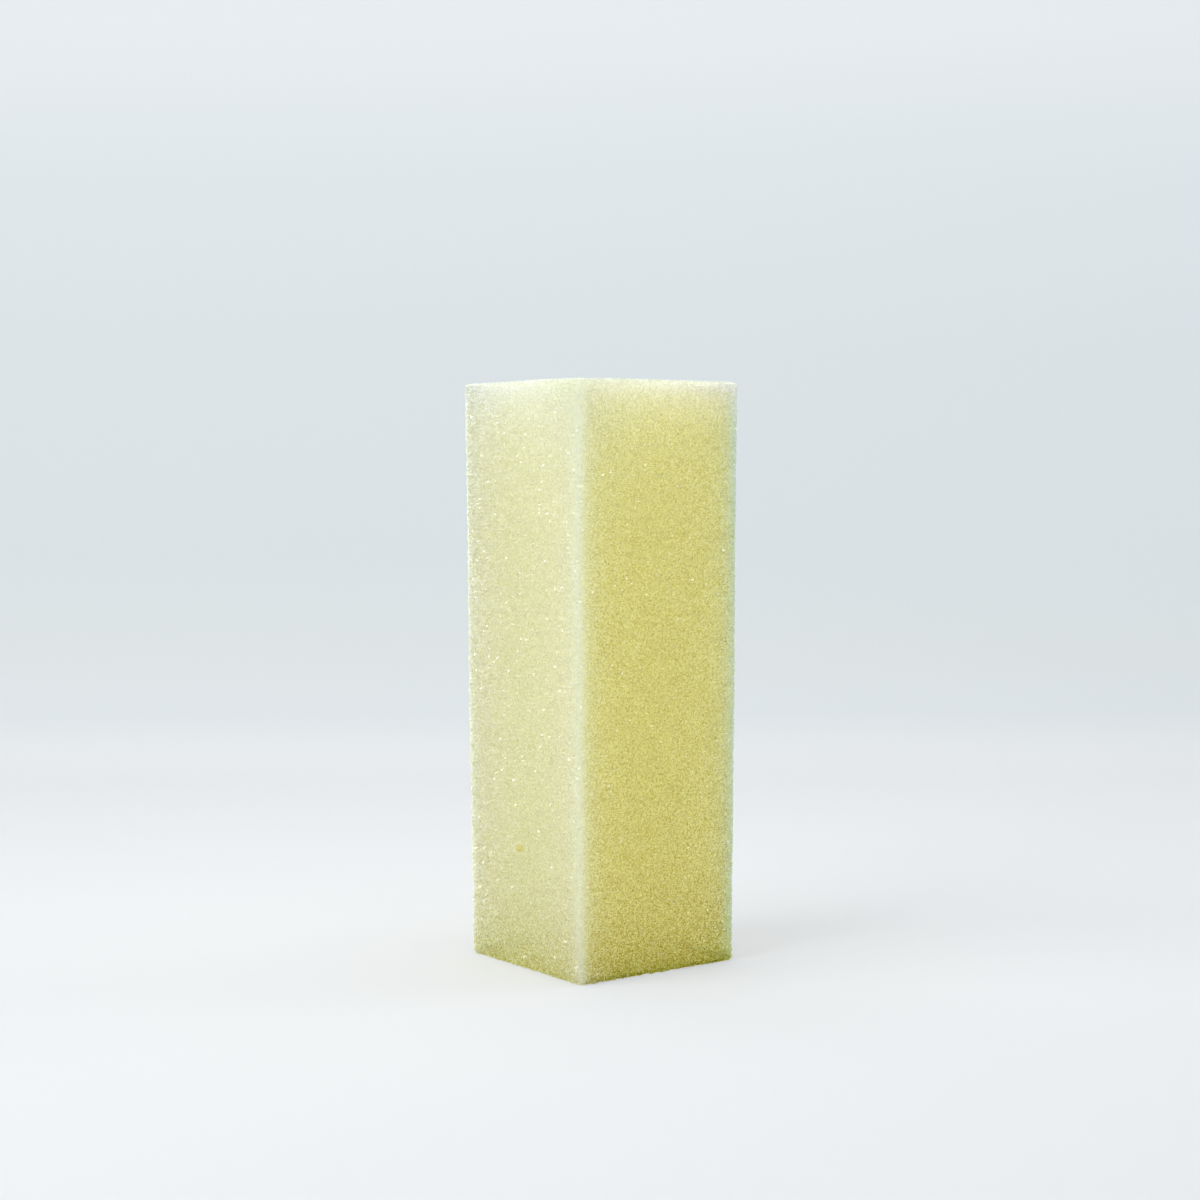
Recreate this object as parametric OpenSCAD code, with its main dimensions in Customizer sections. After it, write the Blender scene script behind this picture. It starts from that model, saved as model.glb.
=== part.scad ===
// Cleaning sponge: one block of open-cell foam, sawn to a square section and stood on its end.
// The origin is at the middle of the foot, +Z runs up the block, and the long sides face X and Y.
// All sizes are in millimetres.

/* [Block] */
// Width of the top end, across X
block_w = 50; // [30:0.5:120]
// Depth of the top end, across Y
block_d = 50; // [30:0.5:120]
// Height of the block on its end
block_h = 150; // [60:1:400]

/* [Saw cuts] */
// How much narrower the foot is than the top end, because the blade runs in as it goes down
run_in = 1.2; // [0:0.1:4]
// How far each long side is hollowed at half height, where foam gives way under the blade
side_hollow = 0.3; // [0:0.05:1.5]
// Radius of the four long edges, which the blade leaves soft
long_edge_r = 1.4; // [0.6:0.1:4]
// Radius of the edges round both ends
end_edge_r = 0.9; // [0.3:0.1:3]

/* [Blow hole] */
// Width of the mouth of the blow hole in the left side, which faces -X
hole_w = 1.9; // [0.8:0.1:8]
// Depth of the blow hole
hole_depth = 1.1; // [0.4:0.1:4]
// Distance of the blow hole from the middle of the left side, towards the back
hole_off_middle = 1.3; // [-8:0.1:8]
// Height of the blow hole above the foot
hole_height = 31; // [15:0.5:45]

/* [Hidden] */

foam_colour = [0.85, 0.84, 0.60];
// Facets along each quarter-round edge, and up a long side
edge_steps = 6;
side_steps = 16;
// The least radius left at a corner of an end face
corner_min_r = 0.1;

corner_signs = [[1, 1], [-1, 1], [-1, -1], [1, -1]];
ring_count = 4 * (edge_steps + 1);

// How far up its straight run a side is at height z, from 0 above the foot edge to 1 below the top
function way_up(z) =
    min(max((z - end_edge_r) / (block_h - 2 * end_edge_r), 0), 1);

// Half the block's size at height z, for a side that measures top_size at the top end
function half_size(top_size, z) =
    let (up = way_up(z))
    top_size / 2 - run_in / 2 * (1 - up) - side_hollow * 4 * up * (1 - up);

// A station is a height and how far the section is drawn in there by the rounding of the end
function end_station(turn) =
    [end_edge_r * (1 - cos(turn)), end_edge_r * (1 - sin(turn))];

foot_stations = [for (i = [0 : edge_steps]) end_station(90 * i / edge_steps)];
side_stations = [
    for (i = [1 : side_steps - 1])
        [end_edge_r + (block_h - 2 * end_edge_r) * i / side_steps, 0]
];
top_stations = [
    for (i = [edge_steps : -1 : 0])
        [block_h - foot_stations[i][0], foot_stations[i][1]]
];
stations = concat(foot_stations, side_stations, top_stations);

// One round-cornered section of the block, anticlockwise from above
function section(z, drawn_in) =
    let (
        half_x = half_size(block_w, z) - drawn_in,
        half_y = half_size(block_d, z) - drawn_in,
        r = max(long_edge_r - drawn_in, corner_min_r)
    )
    [
        for (corner = [0 : 3], i = [0 : edge_steps])
            let (turn = 90 * (corner + i / edge_steps))
            [
                corner_signs[corner][0] * (half_x - r) + r * cos(turn),
                corner_signs[corner][1] * (half_y - r) + r * sin(turn),
                z
            ]
    ];

// The sawn block, lofted through its sections from the foot to the top end
module sawn_block() {
    points = [for (station = stations) each section(station[0], station[1])];
    last = len(stations) - 1;
    foot_face = [for (i = [0 : ring_count - 1]) i];
    top_face = [for (i = [ring_count - 1 : -1 : 0]) last * ring_count + i];
    side_faces = [
        for (level = [0 : last - 1], i = [0 : ring_count - 1])
            let (
                low = level * ring_count,
                high = low + ring_count,
                next = (i + 1) % ring_count
            )
            [low + i, high + i, high + next, low + next]
    ];
    polyhedron(points, concat([foot_face], side_faces, [top_face]), convexity = 4);
}

// The burst bubble in the left side: a ball that cuts the side in a circle of hole_w
module blow_hole() {
    mouth_r = hole_w / 2;
    ball_r = (mouth_r * mouth_r + hole_depth * hole_depth) / (2 * hole_depth);
    side_x = -half_size(block_w, hole_height);
    translate([side_x - ball_r + hole_depth, hole_off_middle, hole_height])
        sphere(r = ball_r, $fn = 32);
}

module sponge() {
    color(foam_colour)
        difference() {
            sawn_block();
            blow_hole();
        }
}

sponge();
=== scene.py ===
"""A cleaning sponge: one sawn block of open-cell foam, standing on its end in a pale studio.

The frame's solid gives the block its size and place. Over it the foam is made cell by cell: an even net
of points over the sawn sides becomes its own dual, so that every point turns into a many-sided cell. Each
cell is then sunk to an open pore, and a few of its facets are smooth film. Lengths are in metres, Z is
up, and the block stands on its foot at the origin.
"""

import logging
import math
from collections.abc import Iterator
from contextlib import contextmanager
from dataclasses import dataclass, field
from enum import Enum
from typing import Any

import bmesh
import bpy
import numpy as np
from mathutils import Matrix, Vector, noise


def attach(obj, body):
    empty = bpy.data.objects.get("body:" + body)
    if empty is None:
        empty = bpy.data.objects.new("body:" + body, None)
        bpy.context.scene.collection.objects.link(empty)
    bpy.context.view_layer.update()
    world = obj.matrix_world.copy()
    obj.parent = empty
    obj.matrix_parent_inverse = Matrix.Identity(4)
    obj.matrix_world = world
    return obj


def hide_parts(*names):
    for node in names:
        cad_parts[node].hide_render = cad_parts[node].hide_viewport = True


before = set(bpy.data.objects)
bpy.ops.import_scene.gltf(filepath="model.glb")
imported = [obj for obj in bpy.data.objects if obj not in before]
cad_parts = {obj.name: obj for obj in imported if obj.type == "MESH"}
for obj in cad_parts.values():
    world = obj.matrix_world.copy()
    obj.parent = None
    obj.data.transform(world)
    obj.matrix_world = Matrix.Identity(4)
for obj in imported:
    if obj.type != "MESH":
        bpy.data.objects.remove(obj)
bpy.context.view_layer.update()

log = logging.getLogger("cleaning_sponge")

MM = 0.001

Settings = dict[str | int, Any]


class Facet(Enum):
    """What one facet of a cell is; the value is the material slot that it wears."""

    STRUT = 0
    FILM = 1


class Trait(Enum):
    """What the mesh says of each point of the foam, under the name that the finishes read."""

    PORE = "pore"
    # How strongly the painted shade in the cells' hollows shows
    OPEN = "open"
    # The painted light and shade by place, as a colour
    SHADE = "shade"


def linear(hex_colour: str) -> tuple[float, float, float, float]:
    """Turns an sRGB hex value to the linear colour that the shaders take.

    Args:
        hex_colour: Six hex digits after a hash, such as "#dfe1b3".

    Returns:
        Red, green, blue and an alpha of 1.
    """
    channels = (int(hex_colour[i : i + 2], 16) / 255 for i in (1, 3, 5))
    red, green, blue = (
        c / 12.92 if c <= 0.04045 else ((c + 0.055) / 1.055) ** 2.4 for c in channels
    )
    return red, green, blue, 1.0


def add_node(
    tree: bpy.types.NodeTree,
    kind: str,
    settings: Settings | None = None,
    links: dict[str | int, bpy.types.NodeSocket] | None = None,
) -> bpy.types.Node:
    """Adds a node to a tree.

    Args:
        tree: The tree of a material, the world or a modifier.
        kind: Blender's name of the node's type.
        settings: Values for the node's own properties and, by name or number, for its inputs.
        links: The output socket that each input, by name or number, is fed from.

    Returns:
        The new node.
    """
    node = tree.nodes.new(kind)
    for name, value in (settings or {}).items():
        if isinstance(name, str) and hasattr(node, name):
            setattr(node, name, value)
        else:
            node.inputs[name].default_value = value
    for name, source in (links or {}).items():
        tree.links.new(source, node.inputs[name])
    return node


def only(piece: bpy.types.Object) -> None:
    """Selects one object and makes it the active one.

    Args:
        piece: The object that the next operators act on.
    """
    bpy.ops.object.select_all(action="DESELECT")
    piece.select_set(True)
    bpy.context.view_layer.objects.active = piece


@contextmanager
def editing(piece: bpy.types.Object) -> Iterator[None]:
    """Opens edit mode on one object with nothing selected, and closes it again.

    Args:
        piece: The object to edit.

    Yields:
        Nothing; the object is in edit mode meanwhile.
    """
    only(piece)
    bpy.ops.object.mode_set(mode="EDIT")
    bpy.ops.mesh.select_all(action="DESELECT")
    yield
    bpy.ops.object.mode_set(mode="OBJECT")


def apply_modifier(piece: bpy.types.Object, kind: str, settings: Settings) -> None:
    """Puts a modifier on an object and applies it.

    Args:
        piece: The object to change.
        kind: Blender's name of the modifier's type.
        settings: Values for the modifier's properties.
    """
    only(piece)
    bpy.ops.object.modifier_add(type=kind)
    modifier = piece.modifiers[-1]
    for name, value in settings.items():
        setattr(modifier, name, value)
    bpy.ops.object.modifier_apply(modifier=modifier.name)


def read_points(mesh: bpy.types.Mesh) -> np.ndarray:
    """Gives a mesh's vertices as an array.

    Args:
        mesh: The mesh to read.

    Returns:
        A row of X, Y and Z for each vertex.
    """
    flat = np.empty(len(mesh.vertices) * 3, np.float32)
    mesh.vertices.foreach_get("co", flat)
    return flat.reshape(-1, 3).astype(float)


def write_points(mesh: bpy.types.Mesh, points: np.ndarray) -> None:
    """Moves a mesh's vertices to the rows of an array."""
    mesh.vertices.foreach_set("co", points.astype(np.float32).ravel())
    mesh.update()


def read_normals(mesh: bpy.types.Mesh) -> np.ndarray:
    """Gives the normal at each of a mesh's vertices.

    Args:
        mesh: The mesh to read.

    Returns:
        A row of X, Y and Z for each vertex.
    """
    flat = np.empty(len(mesh.vertices) * 3, np.float32)
    mesh.vertex_normals.foreach_get("vector", flat)
    return flat.reshape(-1, 3).astype(float)


def smooth_step(values: np.ndarray, low: float, high: float) -> np.ndarray:
    """Eases from 0 at low to 1 at high."""
    t = np.clip((values - low) / (high - low), 0, 1)
    return t * t * (3 - 2 * t)


@dataclass(frozen=True)
class FoamFinish:
    """Open-cell polyurethane foam, foamed in a bun and cut by a band knife.

    The cut leaves the cells' struts as fine pale rims round holes in deeper yellow, partly painted shade
    in the hollows. Inside, the foam is near white, and light reaches much further in it than in real
    foam, which evens the light out over the block and leaves no hard shadow. Its colour is a tint laid
    over the light that comes out, which paints the light and shade by place, and the grain's darker
    colour, which is deep in the cells and faint along the cut edges. The shares say how much each part
    of the pattern adds to a point's shade, and middle is the sum at which the shade starts. The hole in
    a cell shades in between two distances from the cell's middle, counted in cells. The IOR was matched
    to the look: the polymer's own is about 1.5.
    """

    name: str = "polyurethane foam, sawn"
    polymer: str = "#f6f2d0"
    # The grain's darker colour, in the cells' hollows: partly painted shade
    hollow: str = "#c8b42a"
    cell: float = 0.75 * MM
    strand: float = 0.34 * MM
    patch: float = 6.0 * MM
    pore_share: float = 0.15
    hole_share: float = 0.30
    cell_share: float = 0.12
    strand_share: float = 5.4
    patch_share: float = 0.15
    middle: float = 2.45
    hole_span: tuple[float, float] = (0.85, 0.1)
    relief: float = 0.12 * MM
    relief_strength: float = 0.6
    light_reach: float = 300 * MM
    reach_shares: tuple[float, float, float] = (1.0, 1.0, 1.0)
    roughness: float = 0.85
    ior: float = 1.3

    def material(self) -> bpy.types.Material:
        """Builds the material.

        Returns:
            The material, whose one shader reads its colour and relief from the foam's own pattern.
        """
        made = bpy.data.materials.new(self.name)
        made.use_nodes = True
        tree = made.node_tree
        tree.nodes.clear()
        pore, hollow_shading_attr, shades = (
            add_node(tree, "ShaderNodeAttribute", {"attribute_name": trait.value}).outputs
            for trait in Trait
        )
        place = add_node(tree, "ShaderNodeTexCoord").outputs["Object"]
        cells = add_node(
            tree, "ShaderNodeTexVoronoi", {"Scale": 1 / self.cell}, {"Vector": place}
        )
        strands = add_node(
            tree, "ShaderNodeTexNoise", {"Scale": 1 / self.strand}, {"Vector": place}
        )
        patches = add_node(
            tree, "ShaderNodeTexNoise", {"Scale": 1 / self.patch}, {"Vector": place}
        )
        hole = add_node(
            tree,
            "ShaderNodeMapRange",
            {"From Min": self.hole_span[0], "From Max": self.hole_span[1]},
            {"Value": cells.outputs["Distance"]},
        )
        depth = None
        for share, part in (
            (self.pore_share, pore["Fac"]),
            (self.hole_share, hole.outputs["Result"]),
            (self.cell_share, cells.outputs["Color"]),
            (self.strand_share, strands.outputs["Fac"]),
            (self.patch_share, patches.outputs["Fac"]),
        ):
            links = {0: part} if depth is None else {0: part, 2: depth}
            settings = {"operation": "MULTIPLY_ADD", 1: share}
            if depth is None:
                settings[2] = -self.middle
            depth = add_node(tree, "ShaderNodeMath", settings, links).outputs[0]
        # How strongly the grain's darker colour shows here: partly painted shade in the hollows
        shade = add_node(
            tree,
            "ShaderNodeMath",
            {"operation": "MULTIPLY", "use_clamp": True},
            {0: depth, 1: hollow_shading_attr["Fac"]},
        )
        # The painted light and shade by place, times the grain's darker colour, as the coat's tint
        colour = add_node(
            tree,
            "ShaderNodeMix",
            {"data_type": "RGBA", "blend_type": "MULTIPLY", 7: linear(self.hollow)},
            {0: shade.outputs[0], 6: shades["Color"]},
        )
        bump = add_node(
            tree,
            "ShaderNodeBump",
            {"Strength": self.relief_strength, "Distance": self.relief},
            {"Height": cells.outputs["Distance"]},
        )
        shader = add_node(
            tree,
            "ShaderNodeBsdfPrincipled",
            {
                "Base Color": linear(self.polymer),
                "Roughness": self.roughness,
                "Specular IOR Level": 0.0,
                "Subsurface Weight": 1.0,
                "Subsurface Radius": self.reach_shares,
                "Subsurface Scale": self.light_reach,
                "Coat Weight": 1.0,
                "Coat Roughness": self.roughness,
                "Coat IOR": self.ior,
            },
            {
                "Normal": bump.outputs["Normal"],
                "Coat Normal": bump.outputs["Normal"],
                "Coat Tint": colour.outputs[2],
            },
        )
        add_node(
            tree, "ShaderNodeOutputMaterial", None, {"Surface": shader.outputs["BSDF"]}
        )
        return made


@dataclass(frozen=True)
class Bloom:
    """A painted change of shade, lighter or darker, strongest at an edge of the foam and fading inwards
    from it.
    """

    colour: str
    reach: float

    def over(self, shades: np.ndarray, away: np.ndarray) -> np.ndarray:
        """Lays the change over the foam's shades.

        Args:
            shades: The colour of each point so far.
            away: How far each point lies from the edge.

        Returns:
            The changed colours.
        """
        share = np.exp(-away / self.reach)
        return shades + (np.array(linear(self.colour)[:3]) - shades) * share[:, None]


@dataclass(frozen=True)
class Side:
    """The painted light and shade of one side of the foam: plain in the middle, with a bloom from each of
    its edges.
    """

    plain: str
    top: Bloom
    foot: Bloom
    edge: Bloom

    def shades(self, to_top: np.ndarray, to_foot: np.ndarray, to_edge: np.ndarray) -> np.ndarray:
        """Shades the side.

        Args:
            to_top: How far each point lies from the top.
            to_foot: How far it lies from the foot.
            to_edge: How far it lies from the nearest upright edge.

        Returns:
            The colour of each point.
        """
        shades = np.tile(linear(self.plain)[:3], (len(to_top), 1))
        shades = self.edge.over(shades, to_edge)
        shades = self.top.over(shades, to_top)
        return self.foot.over(shades, to_foot)


@dataclass(frozen=True)
class FoamShades:
    """How much of the light inside it each part of the foam lets out.

    The shades are painted light and shade, and were matched to the photograph under this scene's lamps.
    The side that faces -X is painted paler, as the left softbox lights it, and the side that faces -Y a
    deeper yellow, as it is lit mostly by light that comes through the foam; each hidden side looks like
    the one that it faces away from. The tops of the sides are painted whiter, where light comes in from
    above, the feet deeper yellow and darker, where the floor shades them, and the upright edges paler,
    where light comes through. The two long edges at -X are the palest, with a painted highlight along
    them, the front top corner is painted greyer, and the top rim has a painted greyish band. Both ends
    look like the sides that face X, and across an end's border the look of the other two sides gives way.
    """

    # Painted light: the sides that face X, lit by the left softbox, paler; whiter towards the top and the
    # upright edges, deeper yellow at the foot
    facing_x: Side = Side(
        plain="#f4f6d5",
        top=Bloom("#fbffff", reach=8.5 * MM),
        foot=Bloom("#f8ffc5", reach=4.9 * MM),
        edge=Bloom("#ffffec", reach=14.0 * MM),
    )
    # Painted shade: the sides that face Y, lit mostly through the foam, a deeper yellow; whiter towards
    # the top, darker at the foot, and paler and bluer towards the upright edge at +X
    facing_y: Side = Side(
        plain="#fffcb8",
        top=Bloom("#ffffff", reach=5.6 * MM),
        foot=Bloom("#ced773", reach=3.7 * MM),
        edge=Bloom("#bcdde7", reach=3.3 * MM),
    )
    # Painted light along the two long edges at -X, the palest
    painted_edge_light: Bloom = Bloom("#fbfff0", reach=4.3 * MM)
    # A painted highlight: a thin pale line along the two long edges at -X
    painted_edge_highlight: Bloom = Bloom("#f3faf3", reach=1.0 * MM)
    # Painted shade, greyer, round the front top corner
    painted_corner_shade: Bloom = Bloom("#e0e4ce", reach=16.4 * MM)
    # Painted shade: a greyish band along the top rim
    rim: Bloom = Bloom("#e2e7dd", reach=1.2 * MM)
    turn: float = 1.5 * MM
    end_border: tuple[float, float] = (2.0 * MM, 6.0 * MM)

    def from_rim(self, points: np.ndarray, half: np.ndarray, top: float) -> np.ndarray:
        """Gives how far each point lies from the rim of the top, down a side or in over the end."""
        inwards = (half - np.abs(points[:, :2])).min(axis=1)
        return np.clip(top - points[:, 2], 0, None) + np.clip(inwards - self.end_border[0], 0, None)

    def over(self, points: np.ndarray, half: np.ndarray, top: float) -> tuple[np.ndarray, np.ndarray]:
        """Shades the foam, point by point.

        Args:
            points: Where the points are.
            half: Half the block's width and depth.
            top: The block's height.

        Returns:
            The colour of each point, and how far its side faces Y, from 0 to 1.
        """
        inwards = np.clip(half - np.abs(points[:, :2]), 0, None)
        facing_y = smooth_step(inwards[:, 0] - inwards[:, 1], -self.turn, self.turn)
        facing_y *= 1 - smooth_step(inwards.min(axis=1), *self.end_border)
        to_edge = inwards.max(axis=1)
        to_top = np.clip(top - points[:, 2], 0, None) + inwards.min(axis=1)
        at_left = points[:, 0] < 0
        to_right = np.where(at_left, np.inf, to_edge)
        on_x = self.facing_x.shades(to_top, points[:, 2], to_edge)
        on_y = self.facing_y.shades(to_top, points[:, 2], to_right)
        shades = on_x + (on_y - on_x) * facing_y[:, None]
        to_left = np.where(at_left, to_edge, np.inf)
        shades = self.painted_edge_light.over(shades, to_left)
        line = self.painted_edge_highlight.reach
        shades = self.painted_edge_highlight.over(shades, (to_left / line) ** 2 * line)
        to_corner = np.linalg.norm(points - (-half[0], -half[1], top), axis=1)
        shades = self.painted_corner_shade.over(shades, to_corner)
        return self.rim.over(shades, self.from_rim(points, half, top)), facing_y


@dataclass(frozen=True)
class BlowHole:
    """The mark in the side facing -X, taken for a bubble in the bun that the saw cut open.

    Its mouth has the area of a round one of this radius, drawn out along Y and as much lower along Z.
    """

    y: float = 1.3 * MM
    z: float = 31.0 * MM
    mouth_radius: float = 0.95 * MM
    drawn_out: float = 1.45
    depth: float = 1.1 * MM
    rim_width: float = 0.45 * MM
    rim_rise: float = 0.08 * MM
    # Painted shade, tan, up the hole's wall; the middle is lighter
    wall: Bloom = Bloom("#e2d68c", reach=1.25 * MM)
    middle: Bloom = Bloom("#fffdb4", reach=0.75 * MM)

    def distance(self, points: np.ndarray) -> np.ndarray:
        """Gives how far each point would lie from the hole's axis, were its mouth round.

        Args:
            points: Where the points are.

        Returns:
            Distances, which are infinite in the right half of the block.
        """
        along = (points[:, 1] - self.y) / self.drawn_out
        up = (points[:, 2] - self.z) * self.drawn_out
        return np.where(points[:, 0] < 0, np.hypot(along, up), np.inf)

    def sunk(self, away: np.ndarray) -> np.ndarray:
        """Gives how deep the ball-shaped bubble is at each distance from its axis.

        Args:
            away: Distances from the hole's axis.

        Returns:
            Depths below the side, negative on the raised rim.
        """
        ball = (self.mouth_radius**2 + self.depth**2) / (2 * self.depth)
        inside = away < self.mouth_radius
        bowl = np.sqrt(np.clip(ball**2 - np.minimum(away, ball) ** 2, 0, None)) + self.depth - ball
        rim = 1 - np.clip((away - self.mouth_radius) / self.rim_width, 0, 1)
        return np.where(inside, bowl, -self.rim_rise * rim)

    def shade(self, shades: np.ndarray, away: np.ndarray) -> np.ndarray:
        """Tints the hole: painted shade, tan, up its wall, and lighter in the middle.

        Args:
            shades: The colour of each point so far.
            away: Distances from the hole's axis.

        Returns:
            The changed colours.
        """
        shades = self.wall.over(shades, (away / self.wall.reach) ** 4 * self.wall.reach)
        return self.middle.over(shades, (away / self.middle.reach) ** 2 * self.middle.reach)


@dataclass
class FoamBlock:
    """The sponge: its cells, its cut edges and the blow hole, over the frame's solid.

    The pore depths are the shallowest and the deepest, and the film shares those at the foot and the top.
    The hollow shading, how strongly the painted shade in the cells' hollows shows, is given for the sides
    that face X and for those that face Y; it is stronger on those that face Y, which are lit less, and
    the foot factor multiplies it at the foot of each, where the floor shades it. The swell is given at
    the foot, at half height and at the top. The crowd is in radii of the hole's mouth: inside the first
    the net is halved, and levelled to the ring between both.
    """

    node: str = "sponge"
    merge_gap: float = 0.01 * MM
    cell_pitch: float = 1.07 * MM
    scatter: float = 0.42
    evening_passes: int = 2
    evening_share: float = 0.5
    crowd: tuple[float, float] = (2.0, 4.0)
    pore_depth: tuple[float, float] = (0.25 * MM, 0.7 * MM)
    film_share: tuple[float, float] = (0.03, 0.075)
    strut_rise: float = 0.2 * MM
    wander: float = 0.16 * MM
    wander_length: float = 28 * MM
    # How strongly the painted shade in the hollows shows: stronger on the sides that face Y, which are
    # lit less, and at the foot, where the floor shades it
    hollow_shading: tuple[float, float] = (0.26, 0.55)
    top_hollow_shading: float = 0.7
    foot_hollow_shading: tuple[float, float] = (2.4, 1.65)
    foot_reach: float = 15 * MM
    # Painted light: the hollows' shade fades towards the top rim
    top_calm: float = 0.7
    calm_reach: float = 5 * MM
    smooth_edge: float = 3.0 * MM
    edge_depth: float = 0.35
    swell: tuple[float, float, float] = (0.35 * MM, 0.9 * MM, 0.65 * MM)
    smooth_angle: float = math.radians(48)
    seed: int = 31
    random: np.random.Generator = field(init=False, repr=False)
    hole: BlowHole = field(default_factory=BlowHole)
    shades: FoamShades = field(default_factory=FoamShades)
    foam: FoamFinish = field(default_factory=FoamFinish)
    # The skin of a cell that never quite burst: the same polymer, stretched smooth. Its IOR is set well
    # above the polymer's own, so that a single facet glints as bright as in the photograph
    film: FoamFinish = field(
        default_factory=lambda: FoamFinish(
            name="polyurethane cell film", relief=0.0, roughness=0.12, ior=2.1
        )
    )

    def build(self) -> bpy.types.Object:
        """Makes the dressed sponge and hands it to the frame.

        Returns:
            The piece that stands for the solid.
        """
        self.random = np.random.default_rng(self.seed)
        guide = self.copy_of_solid("sponge_guide")
        piece = self.copy_of_solid("sponge_foam")
        self.lay_net(piece, guide)
        self.crowd_round_hole(piece)
        self.turn_to_cells(piece)
        corners = read_points(guide.data)
        half, top = np.abs(corners[:, :2]).max(axis=0), corners[:, 2].max()
        self.sink_cells(piece, half, top)
        self.open_hole(piece)
        self.write_traits(piece, half, top)
        self.bend_saw_cuts(piece, half, top)
        self.dress(piece)
        bpy.data.objects.remove(guide)
        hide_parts(self.node)
        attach(piece, "root")
        return piece

    def copy_of_solid(self, name: str) -> bpy.types.Object:
        """Copies the frame's solid and joins its loose triangles.

        Args:
            name: The copy's name.

        Returns:
            The copy, with no material.
        """
        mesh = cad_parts[self.node].data.copy()
        mesh.materials.clear()
        copy = bpy.data.objects.new(name, mesh)
        bpy.context.scene.collection.objects.link(copy)
        with editing(copy):
            bpy.ops.mesh.select_all(action="SELECT")
            bpy.ops.mesh.remove_doubles(threshold=self.merge_gap)
        return copy

    def lay_net(self, piece: bpy.types.Object, guide: bpy.types.Object) -> None:
        """Covers the block with an even but irregular net of triangles, one point for each cell.

        Args:
            piece: The object to remesh.
            guide: The solid that the points are put back on.
        """
        apply_modifier(piece, "REMESH", {"mode": "VOXEL", "voxel_size": self.cell_pitch})
        with editing(piece):
            bpy.ops.mesh.select_all(action="SELECT")
            bpy.ops.mesh.quads_convert_to_tris(quad_method="BEAUTY", ngon_method="BEAUTY")
        points, normals = read_points(piece.data), read_normals(piece.data)
        shift = self.random.uniform(-1, 1, points.shape) * self.scatter * self.cell_pitch
        shift -= normals * np.sum(shift * normals, axis=1, keepdims=True)
        write_points(piece.data, points + shift)
        with editing(piece):
            bpy.ops.mesh.select_all(action="SELECT")
            for _ in range(self.evening_passes):
                bpy.ops.mesh.beautify_fill(angle_limit=math.pi)
                bpy.ops.mesh.vertices_smooth(factor=self.evening_share, repeat=1)
            bpy.ops.mesh.beautify_fill(angle_limit=math.pi)
        apply_modifier(
            piece, "SHRINKWRAP", {"target": guide, "wrap_method": "NEAREST_SURFACEPOINT"}
        )

    def crowd_round_hole(self, piece: bpy.types.Object) -> None:
        """Levels the side round the blow hole and halves the net there, for the small cells that line it.

        Args:
            piece: The net.
        """
        points = read_points(piece.data)
        away = self.hole.distance(points) / self.hole.mouth_radius
        near, round_it = away < self.crowd[0], away < self.crowd[1]
        points[near, 0] = points[round_it & ~near, 0].mean()
        write_points(piece.data, points)
        with editing(piece):
            bpy.ops.mesh.select_mode(type="VERT")
            net = bmesh.from_edit_mesh(piece.data)
            for point in net.verts:
                point.select = bool(near[point.index])
            net.select_flush_mode()
            bmesh.update_edit_mesh(piece.data)
            bpy.ops.mesh.subdivide(number_cuts=1, smoothness=0)
            bpy.ops.mesh.quads_convert_to_tris(quad_method="BEAUTY", ngon_method="BEAUTY")

    def turn_to_cells(self, piece: bpy.types.Object) -> None:
        """Turns the net into its dual, in which each point is a many-sided cell.

        Args:
            piece: The net.
        """
        group = bpy.data.node_groups.new("net to cells", "GeometryNodeTree")
        for direction in ("INPUT", "OUTPUT"):
            group.interface.new_socket("Mesh", in_out=direction, socket_type="NodeSocketGeometry")
        net = add_node(group, "NodeGroupInput").outputs["Mesh"]
        cells = add_node(group, "GeometryNodeDualMesh", None, {"Mesh": net})
        add_node(group, "NodeGroupOutput", None, {"Mesh": cells.outputs["Dual Mesh"]})
        apply_modifier(piece, "NODES", {"node_group": group})
        bpy.data.node_groups.remove(group)

    def sink_cells(self, piece: bpy.types.Object, half: np.ndarray, top: float) -> None:
        """Sinks a point in the middle of each cell and lifts the struts' ends between them.

        Args:
            piece: The foam, as flat cells.
            half: Half the block's width and depth.
            top: The block's height.
        """
        mesh = piece.data
        points, normals = read_points(mesh), read_normals(mesh)
        lift = self.random.uniform(0, 1, (len(points), 1)) ** 2 * self.strut_rise
        write_points(mesh, points + normals * lift)
        net = bmesh.new()
        net.from_mesh(mesh)
        pore = net.verts.layers.float.new(Trait.PORE.value)
        depths = self.random.uniform(*self.pore_depth, len(net.faces))
        centres = np.array([face.calc_center_median() for face in net.faces])
        reaches = np.column_stack((half - np.abs(centres[:, :2]), top - centres[:, 2]))
        to_edge = np.sort(reaches, axis=1)[:, 1]
        depths *= self.edge_depth + (1 - self.edge_depth) * smooth_step(to_edge, 0, self.smooth_edge)
        facings = [face.normal.copy() for face in net.faces]
        middles = bmesh.ops.poke(net, faces=net.faces[:], center_mode="MEAN_WEIGHTED")["verts"]
        for middle, facing, depth in zip(middles, facings, depths):
            middle.co -= facing * depth
            middle[pore] = depth / self.pore_depth[1]
        heights = np.array([facet.calc_center_median().z for facet in net.faces])
        share = np.interp(heights / top, (0, 1), self.film_share)
        films = self.random.random(len(net.faces)) < share
        for facet, film in zip(net.faces, films):
            facet.material_index = (Facet.FILM if film else Facet.STRUT).value
        net.to_mesh(mesh)
        net.free()
        mesh.update()

    def open_hole(self, piece: bpy.types.Object) -> None:
        """Sinks the foam inside the blow hole's mouth along its ball and raises its rim.

        Args:
            piece: The foam.
        """
        points = read_points(piece.data)
        away = self.hole.distance(points)
        points[:, 0] += self.hole.sunk(away)
        write_points(piece.data, points)

    def write_traits(self, piece: bpy.types.Object, half: np.ndarray, top: float) -> None:
        """Notes the foam's painted light and shade, and how strongly the painted shade in its hollows
        shows.

        Args:
            piece: The foam.
            half: Half the block's width and depth.
            top: The block's height.
        """
        points = read_points(piece.data)
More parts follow.
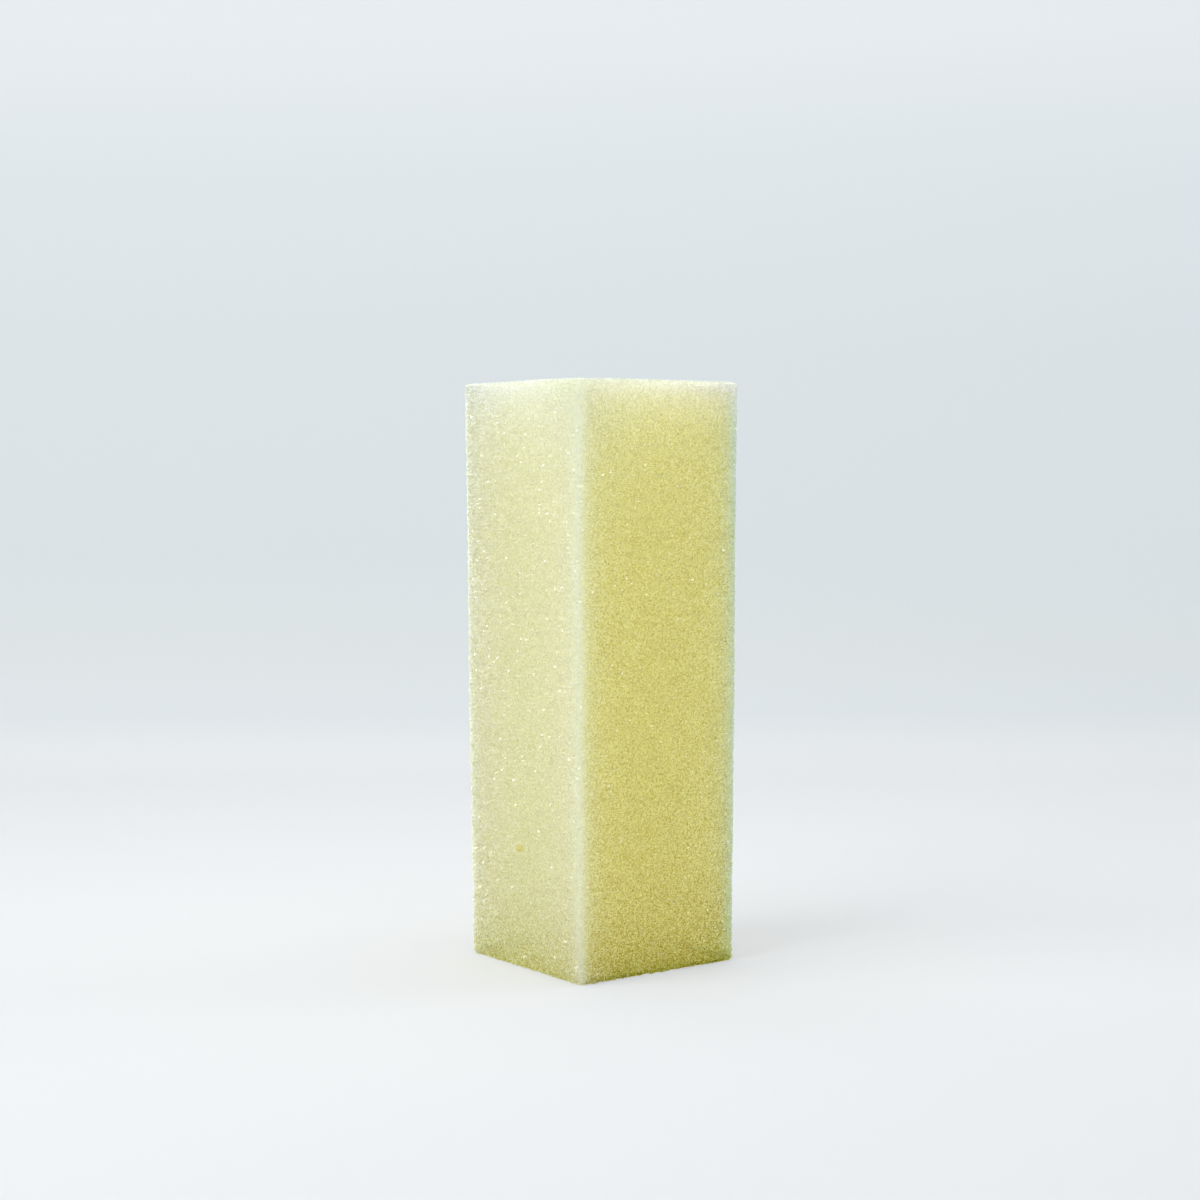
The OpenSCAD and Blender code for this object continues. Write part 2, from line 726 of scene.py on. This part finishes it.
        # Painted light and shade by place, with painted shade up the hole's wall
        shades, facing_y = self.shades.over(points, half, top)
        shades = self.hole.shade(shades, self.hole.distance(points))
        made = piece.data.attributes.new(Trait.SHADE.value, "FLOAT_COLOR", "POINT")
        alphas = np.ones((len(points), 1))
        made.data.foreach_set("color", np.hstack((shades, alphas)).astype(np.float32).ravel())
        # How strongly the painted shade in the hollows shows: by side, deeper at the foot, calmer at the
        # top rim, the upright edges and the hole
        hollow_shading = np.interp(facing_y, (0, 1), self.hollow_shading)
        hollow_shading *= np.interp(points[:, 2] / top, (0, 1), (1, self.top_hollow_shading))
        at_foot = np.interp(facing_y, (0, 1), self.foot_hollow_shading)
        hollow_shading *= 1 + (at_foot - 1) * np.exp(-points[:, 2] / self.foot_reach)
        to_rim = self.shades.from_rim(points, half, top)
        hollow_shading *= 1 - self.top_calm * np.exp(-to_rim / self.calm_reach)
        to_edge = (half - np.abs(points[:, :2])).max(axis=1)
        hollow_shading *= 1 - np.exp(-((to_edge / self.smooth_edge) ** 2))
        hollow_shading *= smooth_step(self.hole.distance(points), self.hole.mouth_radius, self.smooth_edge)
        made = piece.data.attributes.new(Trait.OPEN.value, "FLOAT", "POINT")
        made.data.foreach_set("value", hollow_shading.astype(np.float32))

    def bend_saw_cuts(self, piece: bpy.types.Object, half: np.ndarray, top: float) -> None:
        """Swells the sides towards the photograph's outline, and bends them a little at random.

        Args:
            piece: The foam.
            half: Half the block's width and depth.
            top: The block's height.
        """
        points = read_points(piece.data)
        swell = np.interp(points[:, 2] / top, (0, 0.5, 1), self.swell)
        points[:, :2] *= 1 + swell[:, None] / half
        noise.seed_set(self.seed)
        bend = np.array([noise.noise_vector(Vector(p) / self.wander_length) for p in points])
        bend[:, 2] *= smooth_step(points[:, 2], 0, self.wander_length)
        points += bend * self.wander
        points[:, 2] = np.maximum(points[:, 2], 0)
        write_points(piece.data, points)

    def dress(self, piece: bpy.types.Object) -> None:
        """Gives the foam and its films their materials, and rounds each cell up to its sharp rim.

        Args:
            piece: The foam.
        """
        piece.data.materials.append(self.foam.material())
        piece.data.materials.append(self.film.material())
        only(piece)
        bpy.ops.object.shade_smooth_by_angle(angle=self.smooth_angle)
        for facet in piece.data.polygons:
            if facet.material_index == Facet.FILM.value:
                facet.use_smooth = False


@dataclass(frozen=True)
class Viewpoint:
    """Where the photograph was taken from, found from the block's corners in it."""

    azimuth: float = math.radians(-36.38)
    pitch: float = math.radians(3.417)
    roll: float = math.radians(-0.147)
    distance: float = 578.0 * MM
    aside: float = -0.14 * MM
    height: float = 128.3 * MM
    lens_mm: float = 66.75
    sensor_mm: float = 36.0
    nearest: float = 10 * MM

    def build(self) -> bpy.types.Object:
        """Adds the camera and makes it the scene's.

        Returns:
            The camera.
        """
        back = Vector((math.sin(self.azimuth), -math.cos(self.azimuth), 0))
        right = Vector((math.cos(self.azimuth), math.sin(self.azimuth), 0))
        place = back * self.distance + right * self.aside + Vector((0, 0, self.height))
        ahead = -back * math.cos(self.pitch) - Vector((0, 0, math.sin(self.pitch)))
        upright = right.cross(ahead)
        turn = Matrix((right, upright, -ahead)).transposed() @ Matrix.Rotation(self.roll, 3, "Z")
        data = bpy.data.cameras.new("camera")
        data.lens = self.lens_mm
        data.sensor_width = self.sensor_mm
        data.clip_start = self.nearest
        camera = bpy.data.objects.new("camera", data)
        camera.matrix_world = Matrix.Translation(place) @ turn.to_4x4()
        bpy.context.scene.collection.objects.link(camera)
        bpy.context.scene.camera = camera
        return camera


@dataclass(frozen=True)
class Lamp:
    """One softbox, aimed at the middle of the block.

    Its level is how bright it alone makes white paper that faces it, as a share of white.
    """

    name: str
    azimuth: float
    elevation: float
    distance: float
    size: float
    level: float
    colour: str = "#ffffff"

    def build(self, aim: Vector) -> bpy.types.Object:
        """Adds the lamp.

        Args:
            aim: The point that it faces.

        Returns:
            The lamp.
        """
        azimuth, elevation = math.radians(self.azimuth), math.radians(self.elevation)
        away = Vector(
            (
                math.sin(azimuth) * math.cos(elevation),
                -math.cos(azimuth) * math.cos(elevation),
                math.sin(elevation),
            )
        )
        data = bpy.data.lights.new(self.name, "AREA")
        data.shape = "SQUARE"
        data.size = self.size
        data.energy = self.level * (math.pi * self.distance) ** 2
        data.color = linear(self.colour)[:3]
        lamp = bpy.data.objects.new(self.name, data)
        lamp.location = aim + away * self.distance
        lamp.rotation_mode = "QUATERNION"
        lamp.rotation_quaternion = away.to_track_quat("Z", "Y")
        lamp.visible_camera = False
        bpy.context.scene.collection.objects.link(lamp)
        return lamp


@dataclass
class Studio:
    """The pale sweep that the block stands on, its lamps and the light all round.

    Part of the paper's colour is its own glow as the camera sees it, less on the floor, which keeps the
    block's shadow. The paper that the block covers glows for every ray, and stands for the light that
    real foam lets down to it.
    """

    view: Viewpoint = field(default_factory=Viewpoint)
    matt_colour: str = "#e0e1df"
    # Painted light and shade on one paper, by height: whitest on the floor, greyer and bluer up the bend
    # and the wall, lighter again at the top
    painted_tones: tuple[tuple[float, str], ...] = (
        (0.0, "#eff3fb"),
        (8 * MM, "#ebf1f7"),
        (20 * MM, "#dce7ee"),
        (45 * MM, "#dbe4e8"),
        (90 * MM, "#d9e2e6"),
        (180 * MM, "#dae3e7"),
        (256 * MM, "#dee7ec"),
        (325 * MM, "#e8eef2"),
    )
    # The wall's painted bluish-grey tone, shown where no wall stands
    wall_colour: str = "#dde5e9"
    behind: float = 330 * MM
    bend_radius: float = 90 * MM
    bend_steps: int = 24
    width: float = 4.0
    front: float = 2.0
    wall_height: float = 2.0
    world_colour: str = "#e4eaee"
    world_strength: float = 0.21
    floor_glow: float = 0.45
    wall_glow: float = 0.85
    covered_half: float = 24 * MM
    covered_colour: str = "#fffbf2"
    covered_glow: float = 0.72
    aim_height: float = 75 * MM
    lamps: tuple[Lamp, ...] = (
        Lamp("left softbox", azimuth=-96, elevation=30, distance=0.9, size=0.8, level=0.885),
        Lamp("right softbox", azimuth=78, elevation=25, distance=0.9, size=0.8, level=0.53),
        Lamp("overhead softbox", azimuth=-36, elevation=88, distance=0.45, size=0.4, level=0.68),
    )

    def build(self) -> None:
        """Adds the sweep, the lamps and the world."""
        self.add_sweep()
        self.set_world()
        aim = Vector((0, 0, self.aim_height))
        for lamp in self.lamps:
            lamp.build(aim)
            log.info("lamp %s at %.2f of white", lamp.name, lamp.level)

    def add_sweep(self) -> None:
        """Adds the paper sweep, flat under the block and bent up behind it."""
        profile = [(-self.front, 0.0)]
        for step in range(self.bend_steps + 1):
            turn = math.radians(90 * step / self.bend_steps)
            reach = self.behind + self.bend_radius * math.sin(turn)
            profile.append((reach, self.bend_radius * (1 - math.cos(turn))))
        profile.append((self.behind + self.bend_radius, self.wall_height))
        heading = Vector((-math.sin(self.view.azimuth), math.cos(self.view.azimuth), 0))
        right = Vector((math.cos(self.view.azimuth), math.sin(self.view.azimuth), 0))
        points = []
        for reach, height in profile:
            for side in (-self.width / 2, self.width / 2):
                points.append(heading * reach + right * side + Vector((0, 0, height)))
        faces = [(2 * i, 2 * i + 1, 2 * i + 3, 2 * i + 2) for i in range(len(profile) - 1)]
        mesh = bpy.data.meshes.new("sweep")
        mesh.from_pydata(points, [], faces)
        mesh.shade_smooth()
        mesh.materials.append(self.paper())
        sweep = bpy.data.objects.new("sweep", mesh)
        bpy.context.scene.collection.objects.link(sweep)

    def paper(self) -> bpy.types.Material:
        """Builds the sweep's material: matt uncoated paper off a roll, with painted light and shade by
        height, white on the floor and bluish grey above.

        Returns:
            The material.
        """
        made = bpy.data.materials.new("matt paper")
        made.use_nodes = True
        tree = made.node_tree
        tree.nodes.clear()
        place = add_node(tree, "ShaderNodeTexCoord").outputs["Object"]
        height = add_node(tree, "ShaderNodeSeparateXYZ", None, {"Vector": place}).outputs["Z"]
        highest = self.painted_tones[-1][0]
        rise = add_node(
            tree, "ShaderNodeMapRange", {"From Min": 0.0, "From Max": highest}, {"Value": height}
        )
        tone = add_node(tree, "ShaderNodeValToRGB", None, {"Fac": rise.outputs["Result"]})
        stops = tone.color_ramp.elements
        while len(stops) < len(self.painted_tones):
            stops.new(1.0)
        for stop, (stop_height, stop_colour) in zip(stops, self.painted_tones):
            stop.position = stop_height / highest
            stop.color = linear(stop_colour)
        rays = add_node(tree, "ShaderNodeLightPath")
        seen = rays.outputs["Is Camera Ray"]
        for kind in ("Is Glossy Ray", "Is Transmission Ray"):
            both = add_node(
                tree, "ShaderNodeMath", {"operation": "MAXIMUM"}, {0: seen, 1: rays.outputs[kind]}
            )
            seen = both.outputs[0]
        glow = add_node(
            tree,
            "ShaderNodeMapRange",
            {
                "From Min": 0.0,
                "From Max": self.bend_radius,
                "To Min": self.floor_glow,
                "To Max": self.wall_glow,
            },
            {"Value": height},
        )
        share = add_node(
            tree,
            "ShaderNodeMath",
            {"operation": "MULTIPLY"},
            {0: seen, 1: glow.outputs["Result"]},
        )
        matt = add_node(tree, "ShaderNodeBsdfDiffuse", {"Color": linear(self.matt_colour)})
        flat = add_node(tree, "ShaderNodeEmission", None, {"Color": tone.outputs["Color"]})
        paper = add_node(
            tree,
            "ShaderNodeMixShader",
            None,
            {0: share.outputs[0], 1: matt.outputs["BSDF"], 2: flat.outputs["Emission"]},
        )
        away = add_node(tree, "ShaderNodeVectorMath", {"operation": "ABSOLUTE"}, {0: place})
        split = add_node(tree, "ShaderNodeSeparateXYZ", None, {"Vector": away.outputs["Vector"]})
        furthest = add_node(
            tree,
            "ShaderNodeMath",
            {"operation": "MAXIMUM"},
            {0: split.outputs["X"], 1: split.outputs["Y"]},
        )
        covered = add_node(
            tree,
            "ShaderNodeMath",
            {"operation": "LESS_THAN", 1: self.covered_half},
            {0: furthest.outputs[0]},
        )
        handed_back = add_node(
            tree,
            "ShaderNodeEmission",
            {"Color": linear(self.covered_colour), "Strength": self.covered_glow},
        )
        whole = add_node(
            tree,
            "ShaderNodeMixShader",
            None,
            {0: covered.outputs[0], 1: paper.outputs["Shader"], 2: handed_back.outputs["Emission"]},
        )
        add_node(
            tree, "ShaderNodeOutputMaterial", None, {"Surface": whole.outputs["Shader"]}
        )
        return made

    def set_world(self) -> None:
        """Lights the scene softly from all round, and shows the wall's colour where no wall stands."""
        world = bpy.data.worlds.new("studio")
        world.use_nodes = True
        tree = world.node_tree
        tree.nodes.clear()
        rays = add_node(tree, "ShaderNodeLightPath")
        light = add_node(
            tree,
            "ShaderNodeBackground",
            {"Color": linear(self.world_colour), "Strength": self.world_strength},
        )
        backdrop = add_node(
            tree, "ShaderNodeBackground", {"Color": linear(self.wall_colour), "Strength": 1.0}
        )
        seen = add_node(
            tree,
            "ShaderNodeMixShader",
            None,
            {
                0: rays.outputs["Is Camera Ray"],
                1: light.outputs["Background"],
                2: backdrop.outputs["Background"],
            },
        )
        add_node(tree, "ShaderNodeOutputWorld", None, {"Surface": seen.outputs["Shader"]})
        bpy.context.scene.world = world


def write_sizes(piece: bpy.types.Object) -> None:
    """Logs how many faces the dressed sponge has.

    Args:
        piece: The dressed sponge, which the log names.
    """
    log.info("%s: %d faces", piece.name, len(piece.data.polygons))


def main() -> None:
    """Builds the camera, the studio and the sponge in turn."""
    logging.basicConfig(level=logging.INFO, format="%(name)s: %(message)s")
    bpy.context.scene.view_settings.view_transform = "Standard"
    Viewpoint().build()
    Studio().build()
    piece = FoamBlock().build()
    write_sizes(piece)


if __name__ == "__main__":
    main()
